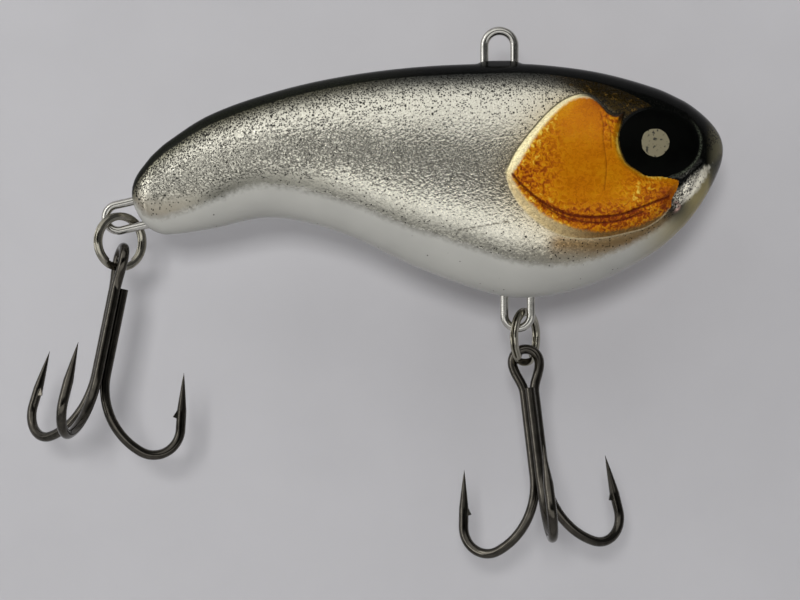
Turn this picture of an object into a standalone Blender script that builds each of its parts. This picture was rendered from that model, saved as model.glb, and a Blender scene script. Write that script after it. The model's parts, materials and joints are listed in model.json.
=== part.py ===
"""Lipless hard lure: a split foil-covered body, wire eyes, two split rings and two trebles.

Metres. +X runs to the nose, +Z to the back, +Y to the lure's left. The origin is the middle of
the line tie's eye, from which the lure hangs.
"""
import math

import bmesh
import bpy
from mathutils import Matrix, Vector
from mathutils.kdtree import KDTree

# Body: two halves glued along the middle plane
BODY_LENGTH = 0.0844
BODY_HEIGHT = 0.0332
BODY_WIDTH = 0.0170
NOSE_ROUND = 0.0060
TAIL_ROUND = 0.0034
END_FLAT = 0.0003
GLUE_LINE = 0.0003
FLANK_FULLNESS = 2.3
BACK_TAPER = 0.08

# Side and top profile from tail to nose. Each row has the share of the length, the back line and
# the belly line as shares of the height below the top of the back, and the share of the width.
PROFILE = (
    (0.000, 0.438, 0.682, 0.30),
    (0.059, 0.339, 0.738, 0.38),
    (0.130, 0.226, 0.715, 0.49),
    (0.237, 0.128, 0.665, 0.66),
    (0.355, 0.059, 0.731, 0.78),
    (0.486, 0.017, 0.883, 0.89),
    (0.622, 0.003, 0.999, 0.97),
    (0.699, 0.010, 1.003, 1.00),
    (0.794, 0.044, 0.936, 0.99),
    (0.889, 0.112, 0.804, 0.92),
    (0.950, 0.182, 0.663, 0.84),
    (1.000, 0.213, 0.539, 0.70),
)

# Flank foil, gill plate, eye and pupil: skins laid on the body halves
FOIL_THICKNESS = 0.0003
SKIN_GAP = 0.0003
FOIL_FROM_TAIL = 0.0020
FOIL_BEHIND_GILL_TOP = 0.0010
FOIL_TOP_ANGLE = 34.0
FOIL_BOTTOM_ANGLE = 138.0
GILL_THICKNESS = 0.0007
GILL_RIM_RISE = 0.0004
GILL_RIM_SHARE = 0.93
GILL_FROM_NOSE = 0.0201
GILL_BELOW_BACK = 0.0142
GILL_REAR_REACH = 0.0112
GILL_HALF_HEIGHT = 0.0102
GILL_CORNER_AHEAD = 0.0121
GILL_CORNER_BELOW = 0.0057
GILL_TOP_AHEAD = 0.0034
EYE_FROM_NOSE = 0.0099
EYE_BELOW_BACK = 0.0083
EYE_LENGTH = 0.0116
EYE_HEIGHT = 0.0098
EYE_THICKNESS = 0.0007
EYE_DOME = 0.0005
PUPIL_DIAMETER = 0.0040
PUPIL_THICKNESS = 0.00025
PATCH_GAP = 0.0004

# Wire eyes: a U outside the body, legs in a routed channel, feet bent out so it can't pull free
HANGER_WIRE = 0.0012
HANGER_EMBED = 0.0075
HANGER_FOOT = 0.0032
HANGER_FOOT_BEND = 0.0010
CHANNEL_CLEARANCE = 0.0003
LINE_TIE_FROM_TAIL = 0.0525
LINE_TIE_OPENING = 0.0031
LINE_TIE_STANDOFF = 0.00255
BELLY_EYE_AHEAD = 0.0026
BELLY_EYE_OPENING = 0.0026
BELLY_EYE_STANDOFF = 0.00247
TAIL_EYE_OPENING = 0.0025
TAIL_EYE_STANDOFF = 0.0019
TAIL_EYE_ABOVE_BELLY = 0.00099
TAIL_EYE_DIP = 13.0
TAIL_EYE_FOOT = 0.0012

# Ballast slugs across the glue line
BALLAST_DIAMETER = 0.0070
BALLAST_LENGTH = 0.0100
BALLAST_CHAMFER = 0.0006
BALLAST_SPACING = 0.0110
BALLAST_ABOVE_BELLY = 0.0074
POCKET_CLEARANCE = 0.0003

# Split rings: two turns of flat wire with a step between them
RING_DIAMETER = 0.0084
RING_WIRE_WIDTH = 0.0011
RING_WIRE_THICKNESS = 0.0004
RING_TURN_GAP = 0.00042
RING_STEP_ANGLE = 50.0
RING_END_ANGLE = 40.0
BELLY_RING_YAW = 61.0
BELLY_RING_SLIDE = 26.0
BELLY_RING_LIFT = 0.0001
BELLY_RING_AHEAD = 0.0004
TAIL_RING_YAW = 38.0
TAIL_RING_SLIDE = -3.0
TAIL_RING_LIFT = 0.0002
TAIL_RING_AHEAD = 0.0004

# Trebles: a double hook bent from one wire and a third hook brazed into its groove
HOOK_WIRE = 0.0014
BRAZE_GAP = 0.00006
HOOK_EYE_OPENING = 0.00245
HOOK_EYE_THROAT = 0.0045
THIRD_HOOK_START = 0.0040
SHANK_LENGTH = 0.0164
BOW_RADIUS = 0.0102
BOW_ANGLE = 72.3
BEND_RADIUS = 0.0039
POINT_LEAN = 8.0
POINT_LENGTH = 0.0081
POINT_TAPER = 0.0048
POINT_FLAT = 0.00012
BARB_FROM_POINT = 0.0066
BARB_LENGTH = 0.0019
BARB_RISE = 0.0005
BELLY_HOOK_SLIDE = 3.0
BELLY_HOOK_LIFT = 0.0
BELLY_HOOK_TILT = -6.2
BELLY_HOOK_PITCH = -12.0
BELLY_HOOK_YAW = 1.6
TAIL_HOOK_SLIDE = -3.0
TAIL_HOOK_LIFT = 0.0010
TAIL_HOOK_TILT = 10.4
TAIL_HOOK_PITCH = -8.7
TAIL_HOOK_YAW = 108.5

# Facets
STATIONS = 30
SECTION_STEPS = 16
OUTLINE_STEPS = 32
WIRE_SIDES = 8
LOOP_POINTS = 24
ARC_STEPS = 10
FOOT_STEPS = 4
CHEEK_STEPS = 6

# Sides of the middle plane
SIDES = {"right": -1, "left": 1}

# Base colour, roughness and metallic value of each material
PEARL_WHITE = ("pearl_white_paint", (0.72, 0.72, 0.70), 0.25, 0.0)
SILVER_FOIL = ("crinkled_silver_foil", (0.62, 0.61, 0.58), 0.35, 1.0)
AMBER = ("amber_lacquer_over_foil", (0.72, 0.30, 0.02), 0.25, 0.5)
BLACK_GLOSS = ("black_gloss_paint", (0.012, 0.012, 0.012), 0.12, 0.0)
SILVER_DOT = ("silver_dot_paint", (0.45, 0.45, 0.42), 0.45, 0.6)
STAINLESS = ("bright_stainless_wire", (0.62, 0.61, 0.58), 0.18, 1.0)
LEAD = ("cast_lead", (0.20, 0.21, 0.22), 0.60, 1.0)
NICKEL = ("nickel_plated_spring_wire", (0.50, 0.48, 0.43), 0.20, 1.0)
BLACK_NICKEL = ("black_nickel_hook_wire", (0.035, 0.033, 0.030), 0.28, 1.0)

# Worked out from the sizes above
TAIL_X = -LINE_TIE_FROM_TAIL
NOSE_X = TAIL_X + BODY_LENGTH
FOIL_LIFT = SKIN_GAP + FOIL_THICKNESS
RING_PITCH = RING_WIRE_THICKNESS + RING_TURN_GAP
RING_RADIUS = (RING_DIAMETER - RING_WIRE_WIDTH) / 2
HOOK_EYE_RADIUS = (HOOK_EYE_OPENING + HOOK_WIRE) / 2
SHANK_OFFSET = (HOOK_WIRE + BRAZE_GAP) / math.sqrt(3)


def clear_scene():
    for obj in list(bpy.data.objects):
        bpy.data.objects.remove(obj, do_unlink=True)


def material(look):
    name, colour, roughness, metallic = look
    mat = bpy.data.materials.get(name)
    if mat is None:
        mat = bpy.data.materials.new(name)
        mat.use_nodes = True
        shader = mat.node_tree.nodes["Principled BSDF"]
        shader.inputs["Base Color"].default_value = (*colour, 1.0)
        shader.inputs["Roughness"].default_value = roughness
        shader.inputs["Metallic"].default_value = metallic
        mat.diffuse_color = (*colour, 1.0)
    return mat


def loft(name, rings, look, smooth_angle=40.0):
    """One closed solid skinned over rings of equal length, with its two end rings filled."""
    bm = bmesh.new()
    loops = [[bm.verts.new(point) for point in ring] for ring in rings]
    for lower, upper in zip(loops, loops[1:]):
        for k in range(len(lower)):
            bm.faces.new((lower[k - 1], lower[k], upper[k], upper[k - 1]))
    bm.faces.new(loops[0])
    bm.faces.new(loops[-1])
    bmesh.ops.recalc_face_normals(bm, faces=bm.faces)
    mesh = bpy.data.meshes.new(name)
    bm.to_mesh(mesh)
    bm.free()
    mesh.shade_smooth()
    mesh.set_sharp_from_angle(angle=math.radians(smooth_angle))
    mesh.materials.append(material(look))
    obj = bpy.data.objects.new(name, mesh)
    bpy.context.scene.collection.objects.link(obj)
    return obj


def carve(body, cutter):
    """Cut a hidden wire-frame solid out of a body."""
    cutter.hide_render = True
    cutter.display_type = "WIRE"
    cut = body.modifiers.new(cutter.name, "BOOLEAN")
    cut.operation = "DIFFERENCE"
    cut.solver = "EXACT"
    cut.object = cutter


def circle(centre, across, along, radius, count):
    angles = [2 * math.pi * k / count for k in range(count)]
    return [centre + radius * (math.cos(a) * across + math.sin(a) * along) for a in angles]


def tube_rings(points, sides, radius):
    """Round sections square to a path. Each point has a vector that stays beside the path."""
    rings = []
    for k, (point, side) in enumerate(zip(points, sides)):
        ahead = points[min(k + 1, len(points) - 1)] - points[max(k - 1, 0)]
        across = (side - side.project(ahead)).normalized()
        rings.append(circle(point, across, ahead.normalized().cross(across), radius, WIRE_SIDES))
    return rings


def profile(share, column):
    """Smooth curve through one column of the profile rows."""
    last = len(PROFILE) - 2
    row = min(sum(1 for p in PROFILE[1:-1] if p[0] <= share), last)
    x0, x1 = PROFILE[row][0], PROFILE[row + 1][0]
    y0, y1 = PROFILE[row][column], PROFILE[row + 1][column]
    before = PROFILE[max(row - 1, 0)]
    after = PROFILE[min(row + 2, last + 1)]
    slope0 = (y1 - before[column]) / (x1 - before[0])
    slope1 = (after[column] - y0) / (after[0] - x0)
    u = (share - x0) / (x1 - x0)
    width = x1 - x0
    rise = y0 * (1 + 2 * u) * (1 - u) ** 2 + y1 * u * u * (3 - 2 * u)
    return rise + width * (slope0 * u * (1 - u) ** 2 - slope1 * u * u * (1 - u))


BACK_TOP_Z = -LINE_TIE_STANDOFF + BODY_HEIGHT * profile(LINE_TIE_FROM_TAIL / BODY_LENGTH, 1)


def end_rounding(share):
    """Share of the full section left near the rounded nose and tail."""
    from_tail = share * BODY_LENGTH + END_FLAT
    from_nose = (1 - share) * BODY_LENGTH + END_FLAT
    left = 1.0
    for distance, radius in ((from_tail, TAIL_ROUND), (from_nose, NOSE_ROUND)):
        if distance < radius:
            left *= math.sqrt(1 - (1 - distance / radius) ** 2)
    return left


def section(share):
    """Middle height, half height and half width of the body halves under their skins."""
    back = BACK_TOP_Z - BODY_HEIGHT * profile(share, 1)
    belly = BACK_TOP_Z - BODY_HEIGHT * profile(share, 2)
    rounding = end_rounding(share)
    half_width = BODY_WIDTH / 2 * profile(share, 3) - FOIL_LIFT - GLUE_LINE / 2
    return (back + belly) / 2, (back - belly) / 2 * rounding, half_width * rounding


def share_at(x):
    return (x - TAIL_X) / BODY_LENGTH


def back_z(x):
    middle, half_height, _ = section(share_at(x))
    return middle + half_height


def belly_z(x):
    middle, half_height, _ = section(share_at(x))
    return middle - half_height


def core_point(share, turn):
    """Point on the left body half; the turn runs from the back (0) to the belly (pi)."""
    middle, half_height, half_width = section(share)
    t = math.cos(turn)
    bulge = max(1 - abs(t) ** FLANK_FULLNESS, 0.0) ** (1 / FLANK_FULLNESS)
    y = half_width * bulge * (1 - BACK_TAPER * t) / (1 + BACK_TAPER)
    return Vector((TAIL_X + share * BODY_LENGTH, GLUE_LINE / 2 + y, middle + half_height * t))


def skin_point(share, turn, lift, side):
    """Point at a height above the body half's surface, on the chosen side."""
    step = 0.002
    along = core_point(share + step, turn) - core_point(share - step, turn)
    around = core_point(share, turn + step) - core_point(share, turn - step)
    point = core_point(share, turn) + lift * along.cross(around).normalized()
    return Vector((point.x, side * point.y, point.z))


def skin_over(x, z, lift, side):
    middle, half_height, _ = section(share_at(x))
    t = max(-1.0, min(1.0, (z - middle) / half_height))
    return skin_point(share_at(x), math.acos(t), lift, side)


def station_shares():
    return [(1 - math.cos(math.pi * i / STATIONS)) / 2 for i in range(STATIONS + 1)]


def body_half(name, side):
    """Half of the body: a rounded flank and a flat gluing face."""
    turns = [math.pi * j / SECTION_STEPS for j in range(SECTION_STEPS + 1)]
    rings = []
    for share in station_shares():
        points = [core_point(share, turn) for turn in turns]
        rings.append([Vector((p.x, side * p.y, p.z)) for p in points])
    return loft(name, rings, PEARL_WHITE)


def flank_foil(name, side, gill_cutter):
    """Foil sheet along the flank, between the back and the belly, cut round the gill plate."""
    start = FOIL_FROM_TAIL / BODY_LENGTH
    end = share_at(gill_centre().x + GILL_TOP_AHEAD - FOIL_BEHIND_GILL_TOP)
    shares = [start] + [s for s in station_shares() if start < s < end] + [end]
    top = math.radians(FOIL_TOP_ANGLE)
    bottom = math.radians(FOIL_BOTTOM_ANGLE)
    inner_turns = [math.pi * j / SECTION_STEPS for j in range(SECTION_STEPS + 1)]
    turns = [top] + [t for t in inner_turns if top < t < bottom] + [bottom]
    rings = []
    for share in shares:
        outer = [skin_point(share, t, FOIL_LIFT, side) for t in turns]
        inner = [skin_point(share, t, SKIN_GAP, side) for t in reversed(turns)]
        rings.append(outer + inner)
    foil = loft(name, rings, SILVER_FOIL)
    carve(foil, gill_cutter)
    return foil


def eye_centre():
    x = NOSE_X - EYE_FROM_NOSE
    return Vector((x, 0, back_z(x) - EYE_BELOW_BACK))


def gill_centre():
    x = NOSE_X - GILL_FROM_NOSE
    return Vector((x, 0, back_z(x) - GILL_BELOW_BACK))


def ellipse_point(centre, half_length, half_height, angle):
    return centre + Vector((half_length * math.cos(angle), 0, half_height * math.sin(angle)))


def gill_outline():
    """Side outline: a round rear edge, a corner at the mouth and a hollow front edge at the eye."""
    centre = gill_centre()
    eye = eye_centre()
    steps = OUTLINE_STEPS // 2
    top = centre + Vector((GILL_TOP_AHEAD, 0, 0))
    start = math.acos(GILL_TOP_AHEAD / GILL_REAR_REACH)
    sweep = 2 * math.pi - 2 * start
    rear = []
    for k in range(steps + 1):
        angle = start + sweep * k / steps
        rear.append(ellipse_point(centre, GILL_REAR_REACH, GILL_HALF_HEIGHT, angle))
    corner = centre + Vector((GILL_CORNER_AHEAD, 0, -GILL_CORNER_BELOW))
    lower = [rear[-1].lerp(corner, k / CHEEK_STEPS) for k in range(1, CHEEK_STEPS + 1)]
    half_length = EYE_LENGTH / 2 + PATCH_GAP
    half_height = EYE_HEIGHT / 2 + PATCH_GAP
    offset = corner - eye
    low = math.atan2(offset.z / half_height, offset.x / half_length)
    offset = rear[0] - eye
    high = math.atan2(offset.z / half_height, offset.x / half_length)
    front = []
    for k in range(steps // 2 + 1):
        angle = (low + 2 * math.pi) * (1 - 2 * k / steps) + high * (2 * k / steps)
        front.append(ellipse_point(eye, half_length, half_height, angle))
    return (top + centre) / 2, rear + lower + front


def patch_rings(centre, outline, spread, low, high, side):
    """Rings of a skin piece: out along its underside, over its edge and in along its top.

    The rings lie at shares of the way from the centre to the edge, and the heights follow the share.
    """
    rings = []
    for height, shares in ((low, spread), (high, spread[::-1])):
        for share in shares:
            points = [centre.lerp(point, share) for point in outline]
            rings.append([skin_over(p.x, p.z, height(share), side) for p in points])
    return rings


def gill_plate(name, side):
    centre, outline = gill_outline()

    def under(share):
        return SKIN_GAP

    def top(share):
        return SKIN_GAP + GILL_THICKNESS + (GILL_RIM_RISE if share == GILL_RIM_SHARE else 0.0)

    spread = (0.12, 0.40, 0.70, GILL_RIM_SHARE, 1.0)
    return loft(name, patch_rings(centre, outline, spread, under, top, side), AMBER)


def gill_cutter(name, side):
    """Prism through the foil, the gill plate's outline with a gap round it."""
    centre, outline = gill_outline()
    rings = []
    for depth in (0.0, side * BODY_WIDTH):
        ring = []
        for point in outline:
            away = (point - centre).normalized() * PATCH_GAP
            ring.append(point + away + Vector((0, depth, 0)))
        rings.append(ring)
    return loft(name, rings, AMBER)


def eye_top(share):
    return SKIN_GAP + EYE_THICKNESS + EYE_DOME * (1 - share * share)


def round_outline(centre, half_length, half_height):
    angles = [2 * math.pi * k / OUTLINE_STEPS for k in range(OUTLINE_STEPS)]
    return [ellipse_point(centre, half_length, half_height, a) for a in angles]


def eye(name, side):
    centre = eye_centre()
    outline = round_outline(centre, EYE_LENGTH / 2, EYE_HEIGHT / 2)

    def under(share):
        return SKIN_GAP

    spread = (0.2, 0.6, 1.0)
    return loft(name, patch_rings(centre, outline, spread, under, eye_top, side), BLACK_GLOSS)


def pupil(name, side):
    centre = eye_centre()
    outline = round_outline(centre, PUPIL_DIAMETER / 2, PUPIL_DIAMETER / 2)
    seat = eye_top(0.0) + SKIN_GAP

    def under(share):
        return seat

    def top(share):
        return seat + PUPIL_THICKNESS

    return loft(name, patch_rings(centre, outline, (0.5, 1.0), under, top, side), SILVER_DOT)


def hanger_path(opening, standoff, foot):
    """Wire eye with its round end towards +Z and its middle at the origin, legs and feet below."""
    half = (opening + HANGER_WIRE) / 2
    leg_end = -(standoff + HANGER_EMBED)
    right = [Vector((half + foot, 0, leg_end))]
    corner = Vector((half + HANGER_FOOT_BEND, 0, leg_end + HANGER_FOOT_BEND))
    for k in range(FOOT_STEPS + 1):
        angle = math.radians(270 - 90 * k / FOOT_STEPS)
        right.append(corner + HANGER_FOOT_BEND * Vector((math.cos(angle), 0, math.sin(angle))))
    arc = []
    for k in range(LOOP_POINTS // 2 + 1):
        angle = 2 * math.pi * k / LOOP_POINTS
        arc.append(half * Vector((math.cos(angle), 0, math.sin(angle))))
    left = [Vector((-p.x, 0, p.z)) for p in reversed(right)]
    return right + arc + left


def hanger(name, opening, standoff, foot, place, halves):
    """A wire eye in its place, and the clearance channel for it in both body halves."""
    path = hanger_path(opening, standoff, foot)
    beside = [Vector((0, 1, 0))] * len(path)
    wire = loft(name, tube_rings(path, beside, HANGER_WIRE / 2), STAINLESS)
    wire.matrix_world = place
    bore = HANGER_WIRE / 2 + CHANNEL_CLEARANCE
    channel_path = list(path)
    for end, inner in ((0, 1), (-1, -2)):
        outward = (path[end] - path[inner]).normalized()
        channel_path[end] = path[end] + CHANNEL_CLEARANCE * outward
    channel = loft(name + "_channel", tube_rings(channel_path, beside, bore), STAINLESS)
    channel.matrix_world = place
    for half in halves:
        carve(half, channel)
    return wire


def turned_slug(name, centre, radius, length, chamfer, look):
    """Cylinder across the body with bevelled ends."""
    across = Vector((1, 0, 0))
    along = Vector((0, 0, 1))
    half = length / 2
    near_end = ((half, radius - chamfer), (half - chamfer, radius))
    stops = near_end + tuple((-y, r) for y, r in reversed(near_end))
    rings = [circle(centre + Vector((0, y, 0)), across, along, r, LOOP_POINTS) for y, r in stops]
    return loft(name, rings, look)


def ballast(name, x, halves):
    """Lead slug in a pocket that both body halves share."""
    centre = Vector((x, 0, belly_z(x) + BALLAST_ABOVE_BELLY))
    slug = turned_slug(name, centre, BALLAST_DIAMETER / 2, BALLAST_LENGTH, BALLAST_CHAMFER, LEAD)
    pocket = turned_slug(name + "_pocket", centre, BALLAST_DIAMETER / 2 + POCKET_CLEARANCE,
                         BALLAST_LENGTH + 2 * POCKET_CLEARANCE, BALLAST_CHAMFER, LEAD)
    for half in halves:
        carve(half, pocket)
    return slug


def ring_point(turn):
    """Middle of the ring's wire; the wire steps from one turn to the next halfway along."""
    step = math.radians(RING_STEP_ANGLE)
    u = max(-0.5, min(0.5, (turn - 2 * math.pi) / step))
    offset = RING_PITCH * (1.5 * u - 2 * u ** 3)
    return Vector((RING_RADIUS * math.sin(turn), offset, RING_RADIUS * math.cos(turn)))


def split_ring(name, place):
    """Two turns of flat wire round the local Y axis. Prints the least gap between the turns."""
    end = math.radians(RING_END_ANGLE)
    count = 2 * LOOP_POINTS
    turns = [end + (4 * math.pi - 2 * end) * k / count for k in range(count + 1)]
    rings = []
    for turn in turns:
        centre = ring_point(turn)
        outward = Vector((math.sin(turn), 0, math.cos(turn))) * RING_WIRE_WIDTH / 2
        sideways = Vector((0, RING_WIRE_THICKNESS / 2, 0))
        rings.append(circle(centre, outward, sideways, 1.0, WIRE_SIDES))
    least = min(turn_gap(rings, k) for k in range(count // 2))
    print(f"{name}: least gap between turns {least * 1000:.2f} mm")
    ring = loft(name, rings, NICKEL)
    ring.matrix_world = place
    return ring


def turn_gap(rings, k):
    """Least distance from one section of the first turn to the sections half a turn or more on."""
    later = [point for ring in rings[k + LOOP_POINTS // 2:] for point in ring]
    tree = KDTree(len(later))
    for index, point in enumerate(later):
        tree.insert(point, index)
    tree.balance()
    return min(tree.find(point)[2] for point in rings[k])


def arm_path(direction):
    """Shank, bow, bend and point of one hook in its own plane, with the vector beside the plane.

    The direction is the angle of the hook's plane round the shank, and heights are below the eye.
    """
    outward = Vector((math.cos(direction), math.sin(direction), 0))
    beside = Vector((-math.sin(direction), math.cos(direction), 0))
    bow = math.radians(BOW_ANGLE)
    flat = [(SHANK_OFFSET, SHANK_LENGTH)]
    for k in range(1, ARC_STEPS + 1):
        angle = bow * k / ARC_STEPS
        reach = SHANK_OFFSET + BOW_RADIUS * (1 - math.cos(angle))
        flat.append((reach, SHANK_LENGTH + BOW_RADIUS * math.sin(angle)))
    centre_r = flat[-1][0] + BEND_RADIUS * math.cos(bow)
    centre_a = flat[-1][1] - BEND_RADIUS * math.sin(bow)
    turn_end = math.pi + math.radians(POINT_LEAN)
    for k in range(1, ARC_STEPS + 1):
        angle = bow + (turn_end - bow) * k / ARC_STEPS
        reach = centre_r - BEND_RADIUS * math.cos(angle)
        flat.append((reach, centre_a + BEND_RADIUS * math.sin(angle)))
    lean = math.radians(POINT_LEAN)
    start_r, start_a = flat[-1]
    for run in point_stops():
        flat.append((start_r - run * math.sin(lean), start_a - run * math.cos(lean)))
    points = [outward * r + Vector((0, 0, -a)) for r, a in flat]
    return points, [beside] * len(points)


def point_stops():
    """Distances along the straight point: the barb's tip and root, the taper and the very point."""
    barb_tip = POINT_LENGTH - BARB_FROM_POINT
    return (barb_tip - BARB_LENGTH / 10, barb_tip, barb_tip + BARB_LENGTH, POINT_LENGTH)


def arm_rings(points, sides):
    """Sections of a hook that ends in a barb and a tapered point."""
    rings = tube_rings(points, sides, HOOK_WIRE / 2)
    stops = point_stops()
    taper_start = POINT_LENGTH - POINT_TAPER
    for ring_index, run in zip(range(len(rings) - len(stops), len(rings)), stops):
        point = points[ring_index]
        share = max(0.0, run - taper_start) / POINT_TAPER
        size = 1 - share * (1 - POINT_FLAT / HOOK_WIRE)
        rings[ring_index] = [point + (vertex - point) * size for vertex in rings[ring_index]]
    barb_ring = rings[len(rings) - len(stops) + 1]
    point = points[len(rings) - len(stops) + 1]
    inner = min(range(WIRE_SIDES), key=lambda k: barb_ring[k].xy.length)
    barb_ring[inner] = barb_ring[inner] + (barb_ring[inner] - point).normalized() * BARB_RISE
    return rings


def eye_path():
    """Half of the double hook's eye, from its crown down to the shank, in the eye's own plane."""
    half_shank = (HOOK_WIRE + BRAZE_GAP) / 2
    depth = SHANK_OFFSET / 2
    points = []
    for k in range(LOOP_POINTS // 4 + 1):
        angle = math.pi / 2 - 2 * math.pi * k / LOOP_POINTS
        points.append(HOOK_EYE_RADIUS * Vector((math.cos(angle), 0, math.sin(angle))))
    for k in range(1, LOOP_POINTS // 4 + 1):
        fall = k / (LOOP_POINTS // 4)
        reach = half_shank + (HOOK_EYE_RADIUS - half_shank) * (1 + math.cos(math.pi * fall)) / 2
        points.append(Vector((reach, 0, -HOOK_EYE_THROAT * fall)))
    return [point + Vector((0, depth, 0)) for point in points]


def double_hook(name):
    """One wire from point to point, up one shank, round the eye and down the other."""
    eye_points = eye_path()
    arm_points, arm_sides = arm_path(math.radians(30))
    points = eye_points + arm_points
    sides = [Vector((0, 1, 0))] * len(eye_points) + arm_sides
    half = arm_rings(points, sides)
    crown = half[0]
    mirrored = [[Vector((-p.x, p.y, p.z)) for p in ring] for ring in half[:0:-1]]
    return loft(name, mirrored + [crown] + half[1:], BLACK_NICKEL)


def third_hook(name):
    """Single hook whose cut end lies below the eye, in the groove of the double hook."""
    points, sides = arm_path(math.radians(-90))
    start = Vector((0, -SHANK_OFFSET, -THIRD_HOOK_START))
    return loft(name, arm_rings([start] + points, [sides[0]] + sides), BLACK_NICKEL)


def turned(tilt, pitch, yaw):
    rotation = Matrix()
    for angle, axis in ((tilt, "Y"), (pitch, "X"), (yaw, "Z")):
        rotation = rotation @ Matrix.Rotation(math.radians(angle), 4, axis)
    return rotation


def ring_place(eye_middle, yaw, slide, lift, ahead):
    """Ring whose wire runs through a wire eye, at an angle round the ring from its top.

    The lift and the step ahead are how far the wire lies from the middle of the eye's round end.
    """
    rotation = Matrix.Rotation(math.radians(yaw), 4, "Z")
    angle = math.radians(slide)
    to_eye = Vector((-RING_RADIUS * math.sin(angle), 0, RING_RADIUS * math.cos(angle)))
    centre = eye_middle - rotation @ to_eye + Vector((ahead, 0, lift))
    return Matrix.Translation(centre) @ rotation


def treble(prefix, ring, slide, lift, rotation):
    """Two hooks on a pivot that lies on the ring's wire, at an angle round the ring from its bottom.

    The lift is how far the middle of the eye lies above the wire, along the shank.
    """
    angle = math.radians(slide)
    seat = Vector((RING_RADIUS * math.sin(angle), 0, -RING_RADIUS * math.cos(angle)))
    pivot = bpy.data.objects.new(prefix + "_treble_pivot", None)
    bpy.context.scene.collection.objects.link(pivot)
    pivot.matrix_world = Matrix.Translation(ring @ seat) @ rotation
    for hook in (double_hook(prefix + "_double_hook"), third_hook(prefix + "_third_hook")):
        hook.parent = pivot
        hook.location = (0, -SHANK_OFFSET / 2, lift)


def build_body():
    """Halves, ballast, wire eyes and skins. Returns the middles of the belly and tail eyes."""
    halves = [body_half(f"{word}_body_half", side) for word, side in SIDES.items()]
    belly_x = BELLY_EYE_AHEAD
    ballast("front_ballast", belly_x + BALLAST_SPACING, halves)
    ballast("rear_ballast", belly_x - BALLAST_SPACING, halves)
    hanger("line_tie", LINE_TIE_OPENING, LINE_TIE_STANDOFF, HANGER_FOOT, Matrix(), halves)
    belly_eye = Vector((belly_x, 0, belly_z(belly_x) - BELLY_EYE_STANDOFF))
    down = Matrix.Translation(belly_eye) @ Matrix.Rotation(math.pi, 4, "Y")
    hanger("belly_hanger", BELLY_EYE_OPENING, BELLY_EYE_STANDOFF, HANGER_FOOT, down, halves)
    tail_belly = BACK_TOP_Z - BODY_HEIGHT * PROFILE[0][2]
    tail_eye = Vector((TAIL_X - TAIL_EYE_STANDOFF, 0, tail_belly + TAIL_EYE_ABOVE_BELLY))
    tail_eye.z -= TAIL_EYE_STANDOFF * math.tan(math.radians(TAIL_EYE_DIP))
    back = Matrix.Translation(tail_eye) @ Matrix.Rotation(math.radians(-90 - TAIL_EYE_DIP), 4, "Y")
    hanger("tail_hanger", TAIL_EYE_OPENING, TAIL_EYE_STANDOFF, TAIL_EYE_FOOT, back, halves)
    for word, side in SIDES.items():
        flank_foil(f"{word}_flank_foil", side, gill_cutter(f"{word}_gill_cutter", side))
        gill_plate(f"{word}_gill_plate", side)
        eye(f"{word}_eye", side)
        pupil(f"{word}_pupil", side)
    return belly_eye, tail_eye


def build_lure():
    clear_scene()
    belly_eye, tail_eye = build_body()
    belly_ring = ring_place(belly_eye, BELLY_RING_YAW, BELLY_RING_SLIDE, BELLY_RING_LIFT, BELLY_RING_AHEAD)
    split_ring("belly_split_ring", belly_ring)
    belly_turn = turned(BELLY_HOOK_TILT, BELLY_HOOK_PITCH, BELLY_HOOK_YAW)
    treble("belly", belly_ring, BELLY_HOOK_SLIDE, BELLY_HOOK_LIFT, belly_turn)
    tail_ring = ring_place(tail_eye, TAIL_RING_YAW, TAIL_RING_SLIDE, TAIL_RING_LIFT, TAIL_RING_AHEAD)
    split_ring("tail_split_ring", tail_ring)
    tail_turn = turned(TAIL_HOOK_TILT, TAIL_HOOK_PITCH, TAIL_HOOK_YAW)
    treble("tail", tail_ring, TAIL_HOOK_SLIDE, TAIL_HOOK_LIFT, tail_turn)


build_lure()
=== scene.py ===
"""Lipless hard lure in its photographed finish: foil flanks, amber gill plates and two trebles."""
import json
import math

import bmesh
import bpy
import numpy as np
from mathutils import Matrix, Vector


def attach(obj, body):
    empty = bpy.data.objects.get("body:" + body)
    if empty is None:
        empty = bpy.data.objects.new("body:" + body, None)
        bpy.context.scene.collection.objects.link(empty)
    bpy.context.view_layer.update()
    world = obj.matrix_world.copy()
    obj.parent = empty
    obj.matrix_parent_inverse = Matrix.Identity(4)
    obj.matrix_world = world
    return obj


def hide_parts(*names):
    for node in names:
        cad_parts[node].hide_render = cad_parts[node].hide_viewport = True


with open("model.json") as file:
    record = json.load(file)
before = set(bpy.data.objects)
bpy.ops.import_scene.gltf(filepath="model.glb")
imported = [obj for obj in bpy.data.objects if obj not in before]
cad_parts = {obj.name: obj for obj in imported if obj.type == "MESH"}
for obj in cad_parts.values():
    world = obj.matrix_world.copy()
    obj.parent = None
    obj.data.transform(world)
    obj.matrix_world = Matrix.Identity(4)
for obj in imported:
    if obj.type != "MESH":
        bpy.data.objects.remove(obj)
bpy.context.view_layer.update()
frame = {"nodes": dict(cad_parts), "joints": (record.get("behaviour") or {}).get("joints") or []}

# Body: two carved wooden halves, glued along the middle and sanded to one smooth form. Crinkled foil is
# glued over the flanks, black is sprayed along the back and pearl white under the belly, and a thick
# clear coat closes it all.
BODY_LENGTH = 0.0844
BODY_HEIGHT = 0.0332
BODY_WIDTH = 0.0170
TAIL_X = -0.0525
BACK_TOP_Z = -0.00245
NOSE_ROUND = 0.0060
TAIL_ROUND = 0.0034
FLANK_FULLNESS = 2.3
BACK_TAPER = 0.08
BODY_STATIONS = 340
BODY_SIDES = 228
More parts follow.
